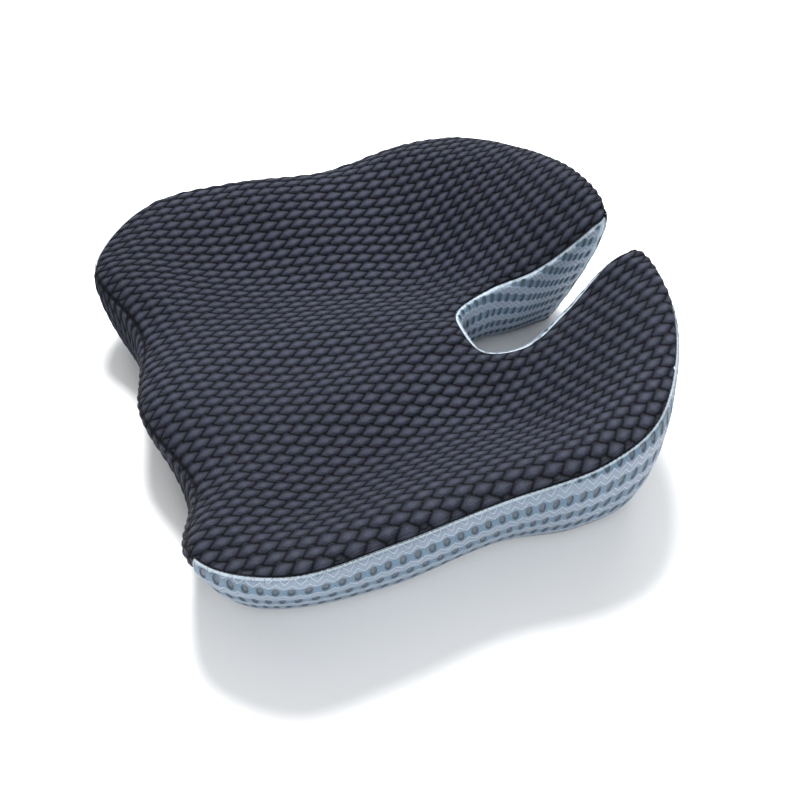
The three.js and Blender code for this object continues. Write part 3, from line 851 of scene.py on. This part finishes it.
# %% The charcoal air mesh
def make_charcoal():
    material, tree, shader, place = finish("charcoal_air_mesh", 0.75, specular=0.1, sheen=0.02,
                                           sheen_roughness=0.4, sheen_tint=(0.7, 0.78, 1.0))
    knit = use_group(tree, PILLOW, Cloth=uv_of(tree))
    yarn = use_group(tree, YARN, Place=place)
    seam = seam_of(tree)
    # A dark ring round each small hole between pillows, strongest near the seam: painted shade at the hole's
    # lip.
    rim = calc(tree, "MULTIPLY", knit["Rim"], ramp(tree, seam, 0.05, 0.6, 0.25, 1.0))
    # Painted shade: the side of each pillow that faces away from the key lamp is painted darker.
    painted_shade_side = ramp(tree, knit["Side"], 0.25, 0.95)
    # Each pillow is painted light in its middle and dark towards its edges: painted shade of its rounded
    # face.
    face = blend_colour(tree, knit["Pillow"], (0.005, 0.006, 0.0105, 1), (0.031, 0.0352, 0.0535, 1))
    colour = layered(tree, face,
                     (knit["Strand"], 0.25, (0.05, 0.055, 0.077, 1)),
                     (yarn["Fleck"], 0.22, (0.058, 0.064, 0.09, 1)),
                     (yarn["Drift"], 0.25, (0.009, 0.0102, 0.0155, 1)),
                     (painted_shade_side, 0.75, (0.002, 0.0025, 0.005, 1)),
                     # Painted shade in the creases between the pillows.
                     (knit["Crease"], 0.95, (0.0006, 0.0009, 0.002, 1)),
                     (knit["Eye"], 0.6, (0.02, 0.022, 0.031, 1)),
                     (rim, 1.0, (0.0012, 0.0015, 0.003, 1)),
                     # The last few millimetres before the seam are painted near black: painted shade in the
                     # seam's groove.
                     (ramp(tree, seam, 0.75, 1.0), 1.0, (0.0015, 0.002, 0.004, 1)))
    put(shader.inputs["Base Color"], colour)
    put(shader.inputs["Roughness"], ramp(tree, yarn["Fuzz"], 0.0, 1.0, 0.62, 0.88))
    height = weighed(tree, knit["Pillow"], (knit["Strand"], 0.12), (yarn["Fuzz"], 0.12), (knit["Side"], 0.22),
                     (knit["Rim"], -0.3), (knit["Crease"], -0.35))
    add_bump(tree, shader, height, 0.0016, 0.9)
    return material


# %% The pale blue air mesh
def make_blue():
    material, tree, shader, place = finish("pale_blue_air_mesh", 0.65, specular=0.4, sheen=0.12,
                                           sheen_roughness=0.4, sheen_tint=(0.9, 0.96, 1.0))
    knit = use_group(tree, EYELET, Cloth=uv_of(tree))
    yarn = use_group(tree, YARN, Place=place)
    # A painted highlight: a pale line just under the seam, where the band rolls over its shoulder.
    painted_seam_highlight = ramp(tree, seam_of(tree), 0.72, 0.95)
    ground = blend_colour(tree, knit["Lane"], (0.185, 0.222, 0.292, 1), (0.055, 0.122, 0.188, 1))
    colour = layered(tree, ground,
                     (knit["Rib"], 0.85, (0.44, 0.505, 0.575, 1)),
                     (knit["Strand"], 0.14, (0.28, 0.34, 0.41, 1)),
                     (yarn["Fleck"], 0.22, (0.32, 0.39, 0.46, 1)),
                     (yarn["Drift"], 0.2, (0.06, 0.11, 0.16, 1)),
                     (knit["Hole"], 1.0, (0.075, 0.09, 0.105, 1)),
                     # A dark ring round each eyelet: painted shade at the eyelet's lip.
                     (knit["Rim"], 0.85, (0.016, 0.032, 0.05, 1)),
                     (painted_seam_highlight, 0.7, (0.5, 0.6, 0.66, 1)))
    put(shader.inputs["Base Color"], colour)
    put(shader.inputs["Roughness"], ramp(tree, yarn["Fuzz"], 0.0, 1.0, 0.5, 0.8))
    height = weighed(tree, 0.0, (knit["Lane"], -0.4), (knit["Rib"], 0.7), (knit["Strand"], 0.15),
                     (yarn["Fuzz"], 0.2), (knit["Hole"], -0.9))
    add_bump(tree, shader, height, 0.0012, 0.9)
    return material


CHARCOAL, BLUE = make_charcoal(), make_blue()
top_cloth.data.materials.append(CHARCOAL)
for panel in (band_right, band_left, notch_cloth):
    panel.data.materials.append(BLUE)

# %% [markdown]
# ## What is inside the cover
# Under the mesh lies a thin white knitted liner, and inside that the foam block. They only show when the
# cover is off or hidden. Both are the same surface as the cover,
# closed with a base and moved inwards. The room over the zip is cut out of both by a boolean.

# %% Closed bodies inside the cover
ZIP_Y = -115.0
INNER_GRID, INNER_WALL_ROWS = (72, 22), 12
TIP_SLACK, TIP_SPAN = 2.5, (180, 207)
FOAM_DEPTH, FOAM_BASE = 7.2, 3.75
LINER_DEPTH, LINER_BASE, LINER_THICK = 4.6, 2.4, 0.7


def base_surface(q, f):
    return foot_at(q) * (1 - f[:, None]) + foot_at(HALF - q) * f[:, None]


def cloth_on_base(q, f):
    return base_surface(q, f)[:, [1, 0]]


def closed_body(name, depth, base):
    """A closed body inside the cover: this deep under the outer face, and this high over the ground."""
    bm = bmesh.new()
    grid_patch(bm, top_rows, lambda q, f: cloth_on_top(top_rows(q, f)), (0, TIP_AT), WHOLE, *INNER_GRID)
    for part in ((0, TIP_AT), (TIP_AT, HALF)):
        grid_patch(bm, wall_surface, cloth_on_wall, part, WHOLE, INNER_GRID[0], INNER_WALL_ROWS)
    grid_patch(bm, base_surface, cloth_on_base, (0, TIP_AT), WHOLE, *INNER_GRID)
    mirror_panel(bm)
    bmesh.ops.recalc_face_normals(bm, faces=bm.faces)
    bm.normal_update()
    for vert, normal in [(v, v.normal.copy()) for v in bm.verts]:
        slack = TIP_SLACK * float(smooth(vert.co.y / MM, *TIP_SPAN))
        vert.co -= normal * (depth + slack) * MM
        vert.co.z = max(vert.co.z, base * MM)
    for _ in range(3):
        bmesh.ops.smooth_vert(bm, verts=[v for v in bm.verts if v.co.z > (base + 3) * MM], factor=0.4,
                              use_axis_x=True, use_axis_y=True, use_axis_z=True)
    obj = as_object(bm, name)
    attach(obj, "cushion")
    return obj


def zip_room(half_long, half_wide, high):
    """A block over the zip, of the room that the zip needs."""
    bm = bmesh.new()
    bmesh.ops.create_cube(bm, size=1)
    place = Matrix.Translation(Vector((0, ZIP_Y, high / 2)) * MM)
    size = Matrix.Diagonal((2 * half_long * MM, 2 * half_wide * MM, high * MM, 1))
    bmesh.ops.transform(bm, matrix=place @ size, verts=bm.verts)
    return as_object(bm, "zip_room")


def carve(obj, cutter):
    cut = obj.modifiers.new("Cut", "BOOLEAN")
    cut.operation = "DIFFERENCE"
    cut.solver = "EXACT"
    cut.object = cutter
    bake_modifiers(obj)
    bpy.data.objects.remove(cutter)
    for face in obj.data.polygons:
        face.use_smooth = True


foam_body = closed_body("foam_body", FOAM_DEPTH, FOAM_BASE)
carve(foam_body, zip_room(165, 21, 9))
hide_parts("foam_core")
liner_body = closed_body("liner_body", LINER_DEPTH, LINER_BASE)
carve(liner_body, zip_room(163, 19, 7.4))
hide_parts("liner_shell", "liner_base")
thicken(liner_body, LINER_THICK)
print("inside:", len(foam_body.data.polygons), len(liner_body.data.polygons), "faces")

# %% [markdown]
# ## The underside
# The bottom panel is a flat black cloth sewn to the foot of the wall, with a slot for the zip. Small
# silicone dots are printed on it so that the cushion doesn't slide. The slot is cut with a round-ended
# cutter. The dots are two low domes repeated by array modifiers, and those off the cloth are then deleted,
# which is how a printer's screen would be masked.

# %% Bottom panel
BOTTOM_GRID, BOTTOM_THICK = (120, 24), 1.2
RIM_LIFT = 0.5
SLOT_HALF = (160, 9)

bm = bmesh.new()
grid_patch(bm, base_surface, cloth_on_base, (0, TIP_AT), WHOLE, *BOTTOM_GRID)
mirror_panel(bm)
bottom_cloth = as_object(bm, "bottom_cloth")
face_up(bottom_cloth, lambda c: Vector((0, 0, -1)))
rim = edge_points(bottom_cloth.data)
flat = coords(bottom_cloth.data)
flat[rim, 2] += RIM_LIFT * MM
set_coords(bottom_cloth.data, flat)
thicken(bottom_cloth, BOTTOM_THICK)
bake_modifiers(bottom_cloth)


def slot_cutter(half_long, half_wide, low, high):
    """A round-ended block: a circle pulled apart along the zip and raised."""
    bm = bmesh.new()
    ring = bmesh.ops.create_circle(bm, cap_ends=True, segments=48, radius=half_wide * MM)["verts"]
    for vert in ring:
        vert.co.x += math.copysign((half_long - half_wide) * MM, vert.co.x + 1e-9)
        vert.co.y += ZIP_Y * MM
        vert.co.z = low * MM
    raised = bmesh.ops.extrude_face_region(bm, geom=bm.faces[:])["geom"]
    for vert in [g for g in raised if isinstance(g, bmesh.types.BMVert)]:
        vert.co.z = high * MM
    return as_object(bm, "slot_cutter")


carve(bottom_cloth, slot_cutter(*SLOT_HALF, -2, 6))
for face in bottom_cloth.data.polygons:
    face.use_smooth = False
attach(bottom_cloth, "cushion")
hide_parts("bottom_panel")

# %% Silicone dots
DOT_PITCH = 8.6
DOT_ROW = DOT_PITCH * 0.866  # each dot has six neighbours at the same distance
DOT_RADIUS, DOT_TALL = 1.55, 0.8
BARE_RIM = 9
BARE_AT_ZIP = 19
FIELD_CORNER = (-215, -200)
right_side = foot_at(np.linspace(0, HALF, 400))[:, :2]
FOOT_LOOP = np.vstack([right_side, right_side[-2:0:-1] * [-1, 1]])


def within(points, loop):
    """Whether each point lies inside the loop, by counting crossings."""
    found = np.zeros(len(points), bool)
    for (x0, y0), (x1, y1) in zip(loop, np.roll(loop, -1, axis=0)):
        if y0 == y1:
            continue
        crossing = (y0 > points[:, 1]) != (y1 > points[:, 1])
        found ^= crossing & (points[:, 0] < (x1 - x0) * (points[:, 1] - y0) / (y1 - y0) + x0)
    return found


def dot_field(name, low_y, high_y, node):
    bm = bmesh.new()
    for shift in ((0, 0), (DOT_PITCH / 2, DOT_ROW)):
        made = bmesh.ops.create_uvsphere(bm, u_segments=10, v_segments=6, radius=DOT_RADIUS * MM)["verts"]
        place = Vector((FIELD_CORNER[0] + shift[0], FIELD_CORNER[1] + shift[1], DOT_TALL))
        for vert in made:
            vert.co.z *= DOT_TALL / DOT_RADIUS
            vert.co += place * MM
    bmesh.ops.bisect_plane(bm, geom=bm.verts[:] + bm.edges[:] + bm.faces[:],
                           plane_co=(0, 0, (DOT_TALL - 0.02) * MM), plane_no=(0, 0, 1), clear_outer=True)
    bmesh.ops.holes_fill(bm, edges=[e for e in bm.edges if e.is_boundary], sides=0)
    dots = as_object(bm, name)
    per_pair = len(dots.data.vertices)
    repeat(dots, 50, (DOT_PITCH, 0, 0))
    repeat(dots, 27, (0, 2 * DOT_ROW, 0))
    bake_modifiers(dots)
    points = coords(dots.data) / MM
    half = per_pair // 2
    centre = points.reshape(-1, half, 3).mean(axis=1)[:, :2]
    to_rim = np.array([np.hypot(*(FOOT_LOOP - c).T).min() for c in centre])
    keep = within(centre, FOOT_LOOP) & (to_rim > BARE_RIM) & (centre[:, 1] > low_y) & (centre[:, 1] < high_y)
    bm = bmesh.new()
    bm.from_mesh(dots.data)
    drop = np.repeat(~keep, half)
    bmesh.ops.delete(bm, geom=[v for v, gone in zip(list(bm.verts), drop) if gone], context="VERTS")
    bm.to_mesh(dots.data)
    bm.free()
    for face in dots.data.polygons:
        face.use_smooth = True
    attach(dots, "cushion")
    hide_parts(node)
    print(name, int(keep.sum()), "dots")
    return dots


dots_front = dot_field("grip_dots_front", -260, ZIP_Y - BARE_AT_ZIP, "grip_coating_front")
dots_rear = dot_field("grip_dots_rear", ZIP_Y + BARE_AT_ZIP, 260, "grip_coating_rear")

# %% [markdown]
# ## Stitches in the seams
# Seen close, a seam is a row of short stitches sunk between two rolled edges. Each stitch is a small
# six-sided rod laid along its line. A bevelled curve would be quicker, but it would read as piping,
# which this cover doesn't have.

# %% Stitch lines
RIM_SUNK, CORNER_SUNK, FOOT_SUNK, TIP_SUNK = 1.4, 1.7, 1.3, 1.6  # how deep each row of thread lies
ZIP_STITCH_HALF, ZIP_STITCH_OFF, ZIP_STITCH_Z = 151.0, 11.8, 0.55


def stitch_line(name, line, node, radius=0.42, long=3.3, pitch=4.1):
    """Lays rods of stitching along a line of points given in mm."""
    run = np.concatenate([[0], np.cumsum(np.linalg.norm(np.diff(line, axis=0), axis=1))])
    bm = bmesh.new()
    for start in np.arange(1.5, run[-1] - long - 1, pitch):
        a, b = (Vector([np.interp(s, run, line[:, k]) for k in range(3)]) for s in (start, start + long))
        turn = (b - a).to_track_quat("Z", "Y").to_matrix().to_4x4()
        place = Matrix.Translation((a + b) / 2 * MM) @ turn
        bmesh.ops.create_cone(bm, cap_ends=True, segments=6, radius1=radius * MM, radius2=radius * MM,
                              depth=(b - a).length * MM, matrix=place)
    obj = as_object(bm, name)
    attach(obj, "cushion")
    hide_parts(node)
    return obj


def both_sides(line):
    return np.vstack([line, line[-2::-1] * [-1, 1, 1]])


q_seam = np.linspace(CORNER_AT, HALF, 700)
rim_line = seam_at(q_seam) - RIM_SUNK * (outward(q_seam) + [0, 0, 1])
v_fall = np.linspace(0.97, 0.02, 40)
q_corner = np.full(40, CORNER_AT)
corner_line = wall_surface(q_corner, v_fall) - CORNER_SUNK * outward(q_corner)
q_foot = np.linspace(0, HALF, 900)
foot_line = foot_at(q_foot) - FOOT_SUNK * outward(q_foot) + [0, 0, 0.7]
q_tip = np.full(40, TIP_SEAM_AT)
tip_line = wall_surface(q_tip, v_fall) - TIP_SUNK * outward(q_tip)
top_line = both_sides(np.vstack([corner_line, rim_line]))
threads = [
    stitch_line("seam_stitches_top", top_line, "seam_thread_top"),
    stitch_line("seam_stitches_bottom", both_sides(foot_line), "seam_thread_bottom"),
    stitch_line("seam_stitches_tip_right", tip_line, "seam_thread_tip_right"),
    stitch_line("seam_stitches_tip_left", tip_line * [-1, 1, 1], "seam_thread_tip_left"),
]
zip_threads = []
for side, word in ((-1, "front"), (1, "rear")):
    stitch_y = ZIP_Y + ZIP_STITCH_OFF * side
    ends = np.array([[x, stitch_y, ZIP_STITCH_Z] for x in (-ZIP_STITCH_HALF, ZIP_STITCH_HALF)])
    row = stitch_line("zip_stitches_" + word, ends, "zip_stitch_" + word, 0.26, 2.6, 3.4)
    zip_threads.append(row)

# %% [markdown]
# ## The zip
# A nylon coil zip: each side is a row of bent loops sewn to a woven tape, and a die-cast slider closes
# them. One tooth is modelled, a rod with a bulb at its inner end, and an array repeats it, because hundreds
# of teeth must stay cheap. The tapes keep their CAD shape. So do the slider, the pull and the stops, which
# are welded and given small bevels so that their edges catch the light.

# %% Coil teeth
TOOTH_START, TOOTH_Z = -154.4, 4.15
TOOTH_PITCH, TOOTH_COUNT = 1.45, 202
ROD_OFF, ROD_LONG, ROD_RADIUS, ROD_LEAN = 1.85, 2.3, 0.5, 8
BULB_OFF, BULB_RADIUS = 0.95, 0.6


def make_coil(word, side):
    bm = bmesh.new()
    lean = Matrix.Rotation(math.radians(ROD_LEAN * side), 4, "Z")
    lying = Matrix.Rotation(math.pi / 2, 4, "X")
    at_rod = Matrix.Translation(Vector((TOOTH_START, ZIP_Y + ROD_OFF * side, TOOTH_Z)) * MM)
    bmesh.ops.create_cone(bm, cap_ends=True, segments=7, radius1=ROD_RADIUS * MM, radius2=ROD_RADIUS * MM,
                          depth=ROD_LONG * MM, matrix=at_rod @ lean @ lying)
    at_bulb = Matrix.Translation(Vector((TOOTH_START, ZIP_Y + BULB_OFF * side, TOOTH_Z)) * MM)
    bmesh.ops.create_icosphere(bm, subdivisions=1, radius=BULB_RADIUS * MM, matrix=at_bulb)
    coil = as_object(bm, "zip_teeth_" + word)
    repeat(coil, TOOTH_COUNT, (TOOTH_PITCH, 0, 0))
    bake_modifiers(coil)
    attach(coil, "cushion")
    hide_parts("zip_coil_" + word)
    return coil


coils = [make_coil("front", -1), make_coil("rear", 1)]

# %% Edges of the metal parts
METAL_NODES = ["zip_slider", "zip_pull", "zip_stop_closed", "zip_stop_open"]
for node in (nodes_of_cad[name] for name in METAL_NODES):
    weld = node.modifiers.new("Weld", "WELD")
    weld.merge_threshold = 1e-5
    bevel = node.modifiers.new("Edges", "BEVEL")
    bevel.width = 0.12 * MM
    bevel.segments = 2
    bevel.limit_method = "ANGLE"
    bevel.angle_limit = math.radians(40)

# %% Cloth, rubber, thread and metal finishes
def weave(tree, vector, pitch):
    """A plain weave: threads over and under, as a height from 0 to 1."""
    parts = tree.nodes.new("ShaderNodeSeparateXYZ")
    put(parts.inputs[0], vector)
    waves = [calc(tree, "SINE", calc(tree, "MULTIPLY", parts.outputs[k], math.tau / pitch)) for k in (0, 1)]
    return calc(tree, "MULTIPLY_ADD", calc(tree, "MULTIPLY", *waves), 0.5, 0.5)


def make_plain_cloth(name, under, over, pitch, bump):
    material, tree, shader, place = finish(name, 0.85, specular=0.3, sheen=0.1)
    yarn = use_group(tree, YARN, Place=place)
    threads_up = weave(tree, place, pitch)
    colour = blend_colour(tree, threads_up, under, over)
    colour = layered(tree, colour, (yarn["Fleck"], 0.3, over), (yarn["Drift"], 0.25, under))
    put(shader.inputs["Base Color"], colour)
    put(shader.inputs["Roughness"], ramp(tree, yarn["Fuzz"], 0.0, 1.0, 0.75, 0.95))
    add_bump(tree, shader, weighed(tree, threads_up, (yarn["Fuzz"], 0.3)), bump, 0.7)
    return material


def make_silicone():
    material, tree, shader, place = finish("silicone_dots", 0.42, specular=0.5)
    yarn = use_group(tree, YARN, Place=place, Fleck_size=700.0)
    colour = blend_colour(tree, yarn["Fleck"], (0.022, 0.023, 0.026, 1), (0.05, 0.052, 0.058, 1))
    put(shader.inputs["Base Color"], layered(tree, colour, (yarn["Drift"], 0.3, (0.09, 0.09, 0.09, 1))))
    put(shader.inputs["Roughness"], ramp(tree, yarn["Fuzz"], 0.0, 1.0, 0.35, 0.6))
    return material


def make_thread(name, dark, light):
    material, tree, shader, place = finish(name, 0.6, specular=0.4, sheen=0.2)
    yarn = use_group(tree, YARN, Place=place, Fleck_size=2600.0)
    put(shader.inputs["Base Color"], blend_colour(tree, yarn["Fleck"], dark, light))
    add_bump(tree, shader, yarn["Fleck"], 0.0002, 0.6)
    return material


def make_plating():
    material, tree, shader, place = finish("dark_plating", 0.3, metallic=1.0)
    yarn = use_group(tree, YARN, Place=place, Fleck_size=3000.0)
    colour = blend_colour(tree, yarn["Fleck"], (0.2, 0.205, 0.215, 1), (0.34, 0.345, 0.36, 1))
    put(shader.inputs["Base Color"], layered(tree, colour, (yarn["Fuzz"], 0.4, (0.45, 0.45, 0.46, 1))))
    put(shader.inputs["Roughness"], ramp(tree, yarn["Fuzz"], 0.0, 1.0, 0.22, 0.45))
    add_bump(tree, shader, yarn["Fleck"], 0.00005, 0.4)
    return material


def make_foam():
    material, tree, shader, place = finish("open_foam", 0.95, specular=0.2)
    cells = tree.nodes.new("ShaderNodeTexVoronoi")
    put(cells.inputs["Vector"], place)
    cells.inputs["Scale"].default_value = 900
    yarn = use_group(tree, YARN, Place=place)
    # The pores are painted darker than the cell walls: painted shade in the open cells.
    pore = ramp(tree, cells.outputs["Distance"], 0.1, 0.6)
    colour = blend_colour(tree, pore, (0.55, 0.49, 0.36, 1), (0.83, 0.78, 0.64, 1))
    put(shader.inputs["Base Color"], layered(tree, colour, (yarn["Drift"], 0.3, (0.72, 0.63, 0.42, 1))))
    add_bump(tree, shader, pore, 0.0005, 0.6)
    return material


BOTTOM_FINISH = make_plain_cloth("base_weave", (0.008, 0.008, 0.01, 1), (0.03, 0.031, 0.036, 1),
                                 1.6 * MM, 0.3 * MM)
TAPE_FINISH = make_plain_cloth("zip_tape_weave", (0.006, 0.006, 0.008, 1), (0.026, 0.026, 0.031, 1),
                               0.9 * MM, 0.2 * MM)
LINER_FINISH = make_plain_cloth("liner_knit", (0.6, 0.59, 0.56, 1), (0.86, 0.85, 0.83, 1), 1.2 * MM, 0.3 * MM)
DOT_FINISH, FOAM_FINISH, PLATING = make_silicone(), make_foam(), make_plating()
DARK_THREAD = make_thread("dark_thread", (0.004, 0.004, 0.006, 1), (0.02, 0.021, 0.026, 1))
BLUE_THREAD = make_thread("blue_thread", (0.2, 0.28, 0.36, 1), (0.42, 0.52, 0.62, 1))
COIL_FINISH = make_thread("nylon_coil", (0.01, 0.01, 0.012, 1), (0.035, 0.035, 0.04, 1))


# %% Putting the finishes on
def dress(material, *pieces):
    for piece in pieces:
        piece.data.materials.clear()
        piece.data.materials.append(material)


dress(BOTTOM_FINISH, bottom_cloth)
dress(FOAM_FINISH, foam_body)
dress(LINER_FINISH, liner_body)
dress(DOT_FINISH, dots_front, dots_rear)
dress(DARK_THREAD, *threads[:2], *zip_threads)
dress(BLUE_THREAD, *threads[2:])
dress(COIL_FINISH, *coils)
for names, material in ((METAL_NODES, PLATING), (("zip_tape_front", "zip_tape_rear"), TAPE_FINISH)):
    for name in names:
        for slot in nodes_of_cad[name].material_slots:
            slot.link = "OBJECT"
            slot.material = material

# %% [markdown]
# ## Floor, light and camera
# A pale floor, three large soft lamps and a white sky stand in for a product studio. The key lamp hangs
# high over the left side, across from the camera, so that the dish catches a soft highlight and the front
# roll falls dark. The side lamp keeps the pale band bright. The sky's light comes mostly from the sides, and
# less from the front and the back. The camera looks down from the right and a little from the front.

# %% Floor
floor_mesh = bmesh.new()
bmesh.ops.create_grid(floor_mesh, x_segments=2, y_segments=2, size=6)
floor = as_object(floor_mesh, "floor")
floor.location.z = -0.2 * MM
floor_finish, floor_tree, floor_shader, floor_place = finish("floor_paint", 0.6, specular=0.2)
worn = speckle(floor_tree, floor_place, 3.0)
tone = blend_colour(floor_tree, worn, (0.93, 0.93, 0.93, 1), (0.96, 0.96, 0.96, 1))
put(floor_shader.inputs["Base Color"], tone)
floor.data.materials.append(floor_finish)


# %% Lamps and sky
SEAT_MIDDLE = Vector((0, 0, 0.05))


def lamp(name, place, size, watts, colour=(1, 1, 1)):
    """A round soft lamp, turned towards the middle of the seat."""
    data = bpy.data.lights.new(name, "AREA")
    data.shape = "DISK"
    data.size = size
    data.energy = watts
    data.color = colour
    obj = bpy.data.objects.new(name, data)
    scene.collection.objects.link(obj)
    obj.location = place
    obj.rotation_euler = (SEAT_MIDDLE - Vector(place)).to_track_quat("-Z", "Y").to_euler()


lamp("key", (-0.95, 0.25, 1.6), 0.8, 78)
lamp("side", (1.75, -0.5, 0.8), 0.7, 22, (0.95, 0.98, 1.0))
lamp("back", (-1.1, 1.2, 1.3), 1.0, 6)
world = bpy.data.worlds.new("studio")
world.use_nodes = True
sky = world.node_tree
toward = sky.nodes.new("ShaderNodeSeparateXYZ")
put(toward.inputs[0], sky.nodes.new("ShaderNodeTexCoord").outputs["Generated"])
off_middle = calc(sky, "ABSOLUTE", calc(sky, "SUBTRACT", toward.outputs[1], 0.12))
open_sky = ramp(sky, off_middle, 0.15, 0.95, 0.74, 0.12)
seen = sky.nodes.new("ShaderNodeLightPath").outputs["Is Camera Ray"]
put(sky.nodes["Background"].inputs["Color"], (1, 1, 1, 1))
put(sky.nodes["Background"].inputs["Strength"], calc(sky, "MAXIMUM", open_sky, seen))
scene.world = world
scene.view_settings.view_transform = "Standard"

# %% Camera
CAMERA_TURN, CAMERA_RISE, CAMERA_FAR = math.radians(69.51), math.radians(45.59), 1.1097
LOOKED_AT = Vector((0, -0.003, 0.04))
level = Vector((math.sin(CAMERA_TURN), -math.cos(CAMERA_TURN), 0))
back = level * math.cos(CAMERA_RISE) + Vector((0, 0, math.sin(CAMERA_RISE)))
camera_data = bpy.data.cameras.new("camera")
camera = bpy.data.objects.new("camera", camera_data)
scene.collection.objects.link(camera)
camera.location = LOOKED_AT + back * CAMERA_FAR
camera.rotation_euler = (-back).to_track_quat("-Z", "Y").to_euler()
camera_data.lens = 59.4
camera_data.shift_x = 0.0195
camera_data.shift_y = -0.0435
scene.camera = camera
